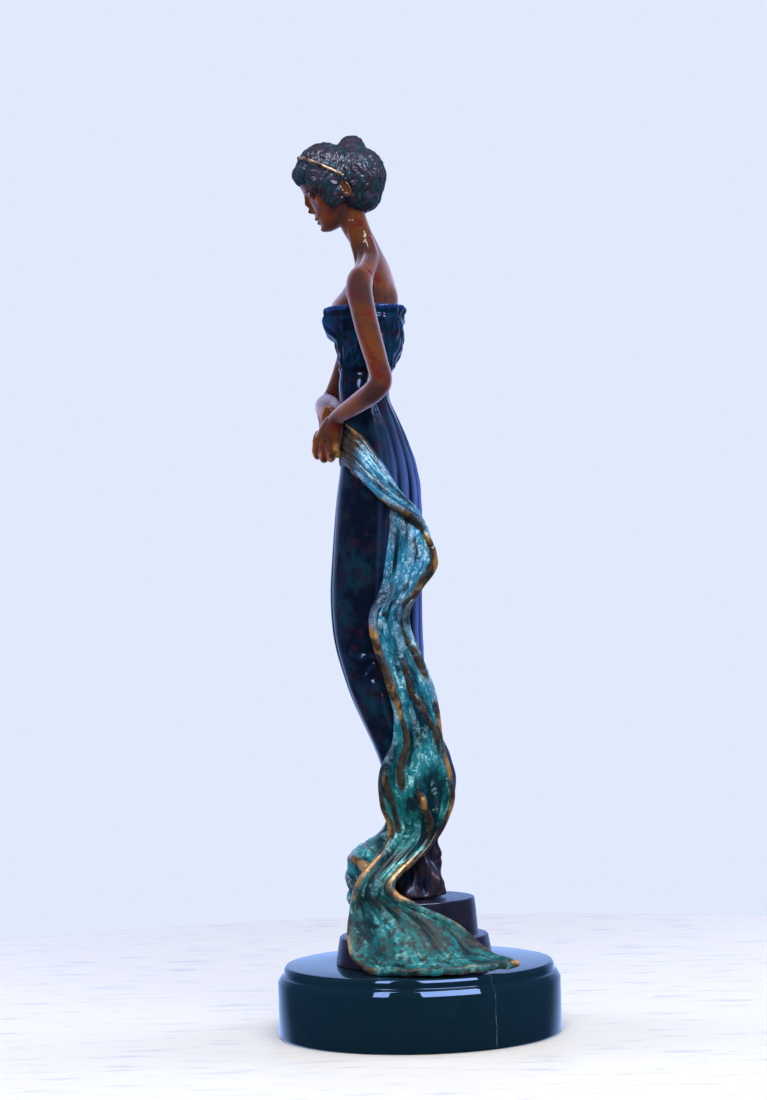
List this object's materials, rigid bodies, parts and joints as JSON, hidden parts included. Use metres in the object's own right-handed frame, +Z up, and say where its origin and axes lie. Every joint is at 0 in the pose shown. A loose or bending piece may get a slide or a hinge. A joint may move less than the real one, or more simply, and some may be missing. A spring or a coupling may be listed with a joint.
{
  "type": "figurine",
  "caption": "Bronze figurine of a girl in a long strapless gown holding a trailing shawl, on a stepped round bronze plinth and a polished black marble base.",
  "frame": {"origin": "centre of the marble base's underside", "axes": "+Z up; the girl faces -Y; her left is +X"},
  "size_m": [0.11, 0.11, 0.3504],
  "materials": {
    "patinated_bronze": "lacquered bronze with brown, dark blue-green and turquoise patina",
    "dark_bronze": "satin dark brown patina",
    "black_marble": "polished black marble"
  },
  "bodies": {
    "root": {"girl_figure": "patinated_bronze", "bronze_plinth": "dark_bronze", "marble_base": "black_marble"}
  },
  "joints": []
}
